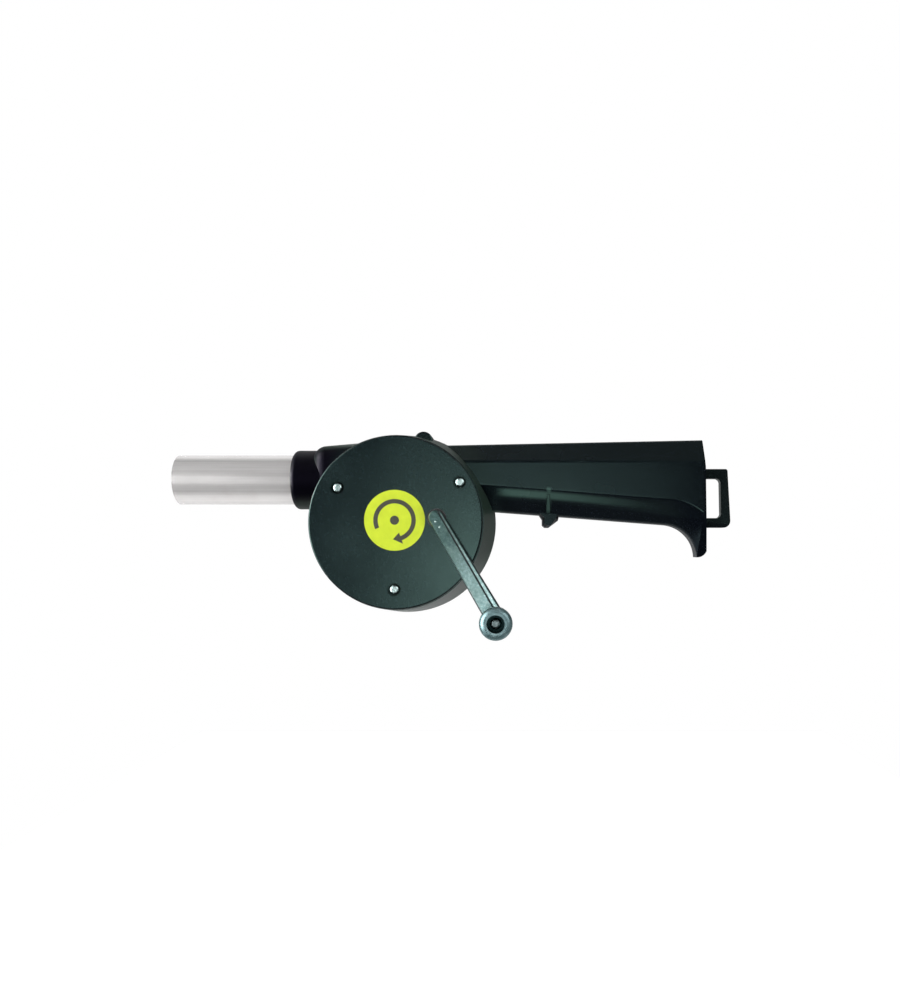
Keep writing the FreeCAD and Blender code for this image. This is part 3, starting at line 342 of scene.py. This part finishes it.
def satin_knob(name):
    """Satin silver grey plastic with fine turning lines, and painted shade inside its recess."""
    m = Material(name)
    m.set(Metallic=0.55)
    cloud = m.noise(260.0, 4.0, roughness=0.65)
    tone = m.ramp(cloud, [(0.32, (0.070, 0.125, 0.132)), (0.52, (0.110, 0.180, 0.190)),
                          (0.70, (0.20, 0.285, 0.295))])
    # Painted shade inside the recess: a near black colour and a dark specular tint
    recess_shade = m.fade(m.distance(KNOB), RECESS_R, RECESS_R + 0.0003)
    m.color(m.blend(m.mul(recess_shade, 0.97), tone, (0.004, 0.010, 0.011)))
    m.link(m.blend(recess_shade, (1.0, 1.0, 1.0), (0.10, 0.30, 0.30)), m.shader.inputs["Specular Tint"])
    m.roughness(m.noise(90.0, 2.0), 0.36, 0.46)
    m.bump([(m.noise(1500.0, 2.0, (1.0, 0.06, 1.0)), 0.10, 0.00005), (cloud, 0.10, 0.0001)])
    return m.material


def plated(name, dark, light, rough):
    """Plated or ground steel with tiny pits and turning marks."""
    m = Material(name)
    m.set(Metallic=1.0)
    spots = m.noise(1200.0, 3.0)
    m.color(m.ramp(spots, [(0.3, dark), (0.7, light)]))
    m.roughness(m.noise(500.0, 2.0), rough - 0.06, rough + 0.08)
    m.bump([(spots, 0.10, 0.00003)])
    return m.material


def natural(name, dark, light, rough):
    """Plain plastic, printed film or ink with a soft sheen."""
    m = Material(name)
    cloud = m.noise(240.0, 3.0)
    m.color(m.ramp(cloud, [(0.3, dark), (0.7, light)]))
    m.roughness(cloud, rough - 0.05, rough + 0.05)
    m.bump([(m.noise(1800.0, 2.0), 0.10, 0.00004)])
    return m.material


black = moulded("black_plastic", (0.0010, 0.0014, 0.0026), (0.0020, 0.0028, 0.0046), 0.29, 0.20, PARTING_Y,
                shell=True)
cover_black = moulded("cover_plastic", (0.0018, 0.0034, 0.0052), (0.0050, 0.0085, 0.0098), 0.38, 0.18, SEAM_Y,
                      screws=[middle_of("cover_screw_%d" % i) for i in (1, 2, 3)])
fan_black = moulded("fan_plastic", (0.006, 0.007, 0.008), (0.010, 0.011, 0.012), 0.4, 0.38, PARTING_Y)
tube_metal = drawn_tube("drawn_tube")
arm_metal = cast_arm("cast_arm")
knob_grey = satin_knob("satin_knob")
dark_steel = plated("dark_steel", (0.080, 0.110, 0.113), (0.150, 0.190, 0.195), 0.34)
steel = plated("steel", (0.48, 0.50, 0.51), (0.60, 0.62, 0.63), 0.26)
zinc = plated("zinc", (0.27, 0.36, 0.35), (0.46, 0.57, 0.56), 0.30)
bronze = plated("bronze", (0.50, 0.35, 0.17), (0.66, 0.48, 0.25), 0.40)
acetal = natural("black_acetal", (0.006, 0.007, 0.008), (0.010, 0.012, 0.013), 0.35)
nylon = natural("nylon", (0.66, 0.65, 0.60), (0.74, 0.73, 0.68), 0.48)
yellow = natural("yellow_film", (0.50, 0.62, 0.020), (0.57, 0.69, 0.028), 0.42)
ink = natural("black_ink", (0.010, 0.011, 0.006), (0.018, 0.019, 0.010), 0.45)

LOOKS = {"front_shell": black, "rear_shell": black, "gear_cover": cover_black, "label": yellow,
         "tube": tube_metal, "bush": bronze, "crank_bush": acetal, "pin_steel": steel, "gear_plastic": nylon,
         "fan_plastic": fan_black, "arm": arm_metal, "knob": knob_grey, "knob_rivet": dark_steel,
         "screw": zinc}
SLOT_OF = {s["node"]: s["material_slot"] for s in frame["record"]["subparts"]}
for node, piece in frame["nodes"].items():
    for slot in piece.material_slots:
        slot.material = LOOKS[SLOT_OF[node]]

# The end of the crank shaft is sprayed over with the arm
for slot in frame["nodes"]["crank_shaft"].material_slots:
    slot.material = arm_metal


def add_piece(name, mesh, material, body):
    """A new piece of the object that rides on a body."""
    mesh.materials.append(material)
    piece = bpy.data.objects.new(name, mesh)
    bpy.context.collection.objects.link(piece)
    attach(piece, body)


def flat_plate(name, outline, y, thick):
    """A thin plate through (x, z) points, facing -Y, with its front a little inside its edge."""
    work = bmesh.new()
    middle = sum((Vector((x, 0, z)) for x, z in outline), Vector()) / len(outline)
    back = [work.verts.new((x, y, z)) for x, z in outline]
    front = []
    for x, z in outline:
        spot = middle + (Vector((x, 0, z)) - middle) * 0.995
        front.append(work.verts.new((spot.x, y - thick, spot.z)))
    work.faces.new(front)
    work.faces.new(list(reversed(back)))
    for i in range(len(outline)):
        j = (i + 1) % len(outline)
        work.faces.new((back[i], back[j], front[j], front[i]))
    bmesh.ops.recalc_face_normals(work, faces=work.faces)
    mesh = bpy.data.meshes.new(name)
    work.to_mesh(mesh)
    work.free()
    return mesh


def turn_arrow(centre, radius, width, start, end, head):
    """The outline of a round arrow as (x, z) points; its angles are in degrees."""
    steps = 40
    angles = [math.radians(start + (end - start) * i / steps) for i in range(steps + 1)]

    def at(distance, angle):
        return (centre.x + distance * math.cos(angle), centre.z + distance * math.sin(angle))

    outer = [at(radius + width / 2, a) for a in angles]
    inner = [at(radius - width / 2, a) for a in angles]
    last = angles[-1]
    tip = at(radius, last + math.copysign(head / radius, end - start))
    barbs = [at(radius + side * width * 1.35, last) for side in (1, -1)]
    return outer + [barbs[0], tip, barbs[1]] + list(reversed(inner))


# Label: a plain round arrow that shows which way the crank turns, round a small dot
arrow = turn_arrow(LABEL_AT, LABEL_RING_R, 0.0020, 205.0, -70.0, 0.0038)
add_piece("label_arrow", flat_plate("turn_arrow", arrow, LABEL_Y, MARK_THICK), ink, "housing")
turns = [math.tau * i / 40 for i in range(40)]
dot = [(LABEL_AT.x + LABEL_DOT_R * math.cos(a), LABEL_AT.z + LABEL_DOT_R * math.sin(a)) for a in turns]
add_piece("label_dot", flat_plate("arrow_dot", dot, LABEL_Y, MARK_THICK), ink, "housing")


def dome(name, place, radius, height):
    """A low rounded stake mark that faces -Y."""
    work = bmesh.new()
    bmesh.ops.create_uvsphere(work, u_segments=24, v_segments=12, radius=1.0)
    bmesh.ops.delete(work, geom=[v for v in work.verts if v.co.y > 0.05], context="VERTS")
    bmesh.ops.scale(work, vec=(radius, height, radius), verts=work.verts)
    bmesh.ops.translate(work, vec=place, verts=work.verts)
    for face in work.faces:
        face.smooth = True
    mesh = bpy.data.meshes.new(name)
    work.to_mesh(mesh)
    work.free()
    return mesh


# Two bright stake marks that lock the crank shaft in the arm
for number, (x, z) in enumerate(STAKES_AT, 1):
    mark = dome("stake_%d" % number, Vector((x, ARM_FACE_Y, z)), *STAKE_SIZE)
    add_piece("stake_mark_%d" % number, mark, zinc, "crank")

# Floor: a plain white sheet below the object, as bright as its backdrop to the camera
FLOOR_AT = (0.05, 0.27, -0.25)
FLOOR_SIZE = 0.80
FLOOR_MIRRORED = 0.5
bpy.ops.mesh.primitive_plane_add(size=1.0, location=FLOOR_AT)
floor = bpy.context.object
floor.name = "floor"
floor.scale = (FLOOR_SIZE, FLOOR_SIZE, 1.0)
m = Material("floor_white")
m.set(Roughness=0.9)
shade = m.noise(8.0, 2.0)
m.color(m.ramp(shade, [(0.3, (0.80, 0.80, 0.80)), (0.7, (0.83, 0.83, 0.83))]))
path = m.add("ShaderNodeLightPath").outputs
m.shader.inputs["Emission Color"].default_value = (1.0, 1.0, 1.0, 1.0)
mirrored = m.math("MAXIMUM", path["Is Glossy Ray"], path["Is Transmission Ray"])
position = m.split(m.add("ShaderNodeNewGeometry").outputs["Position"])
far = m.smooth(position["Y"], -0.10, 0.05)
glow = m.plus(path["Is Camera Ray"], m.mul(mirrored, m.mul(far, FLOOR_MIRRORED)))
m.link(glow, m.shader.inputs["Emission Strength"])
m.material.cycles.emission_sampling = "NONE"
floor.data.materials.append(m.material)

# Surroundings: white behind the object, and in front of it a dim room with soft windows and panels,
# which shows only in what mirrors it
world = bpy.data.worlds.new("world")
bpy.context.scene.world = world
world.use_nodes = True
world.cycles.sampling_method = "NONE"
n = Nodes(world.node_tree)
direction = n.add("ShaderNodeTexCoord").outputs["Generated"]
x, y, z = (n.split(direction)[axis] for axis in "XYZ")

# How bright the room is in front, above, at the sides, and behind on the right
FRONT = 0.06
UPWARD = 0.30
SIDE = 0.12
RIGHT = 0.34
SOFT_LIGHT = 0.55

# Windows: their reach across and in height as parts of a direction, soft edge and strength.
# Panels: the direction of the middle, the angles of the whole and of the full light, and strength.
WINDOWS = (((-0.06, 0.03), (-0.24, 0.02), 0.12, 4.5),
           ((-0.60, -0.33), (-0.32, 0.36), 0.04, 0.50))
PANELS = (((-0.86, -0.50, 0.05), 32.0, 16.0, 18.0),
          ((-0.80, -0.30, 0.45), 27.0, 12.0, 8.0),
          ((0.64, -0.62, 0.42), 26.0, 12.0, 5.0))


def window(value, low, high, soft):
    """One between low and high, with a soft edge outside them."""
    return n.mul(n.smooth(value, low - soft, low), n.fade(value, high, high + soft))


front = n.smooth(n.mul(y, -1.0), 0.0, 0.2)
light = n.plus(FRONT, n.mul(n.smooth(z, 0.45, 0.70), UPWARD - FRONT))
to_right = n.mul(n.smooth(x, -0.16, -0.02), 1.0 - RIGHT)
sweep = n.mul(n.smooth(y, 0.10, 0.62), n.sub(1.0, to_right))
light = n.plus(light, n.mul(sweep, 1.0 - FRONT))
for across, height, soft, strength in WINDOWS:
    pane = n.mul(window(x, *across, soft), window(z, *height, soft))
    light = n.plus(light, n.mul(n.mul(pane, front), strength))
side = n.mul(n.smooth(n.math("ABSOLUTE", x), 0.52, 0.64), n.smooth(y, -0.25, 0.05))
light = n.mul(light, n.sub(1.0, n.mul(side, 1.0 - SIDE)))
for aim, wide, full, strength in PANELS:
    panel = n.smooth(n.dot(direction, aim), math.cos(math.radians(wide)), math.cos(math.radians(full)))
    light = n.plus(light, n.mul(panel, strength))

path = n.add("ShaderNodeLightPath").outputs
mirrored = n.math("MAXIMUM", path["Is Glossy Ray"], path["Is Transmission Ray"])
strength = n.plus(n.mul(mirrored, light), n.mul(n.sub(1.0, mirrored), SOFT_LIGHT))
direct = path["Is Camera Ray"]
strength = n.plus(n.mul(n.sub(1.0, direct), strength), direct)
background = world.node_tree.nodes["Background"]
background.inputs["Color"].default_value = (1.0, 1.0, 1.0, 1.0)
n.link(strength, background.inputs["Strength"])


def area_light(name, place, size, power):
    data = bpy.data.lights.new(name, "AREA")
    data.energy = power
    data.shape = "RECTANGLE"
    data.size, data.size_y = size
    lamp = bpy.data.objects.new(name, data)
    lamp.location = place
    lamp.rotation_euler = (Vector((0.02, -0.02, 0.0)) - Vector(place)).to_track_quat("-Z", "Y").to_euler()
    lamp.visible_glossy = False
    bpy.context.collection.objects.link(lamp)


area_light("low_left", (-0.46, -0.66, -0.20), (0.16, 0.16), 3.0)
area_light("low_right", (0.42, -0.55, -0.22), (0.25, 0.20), 1.6)
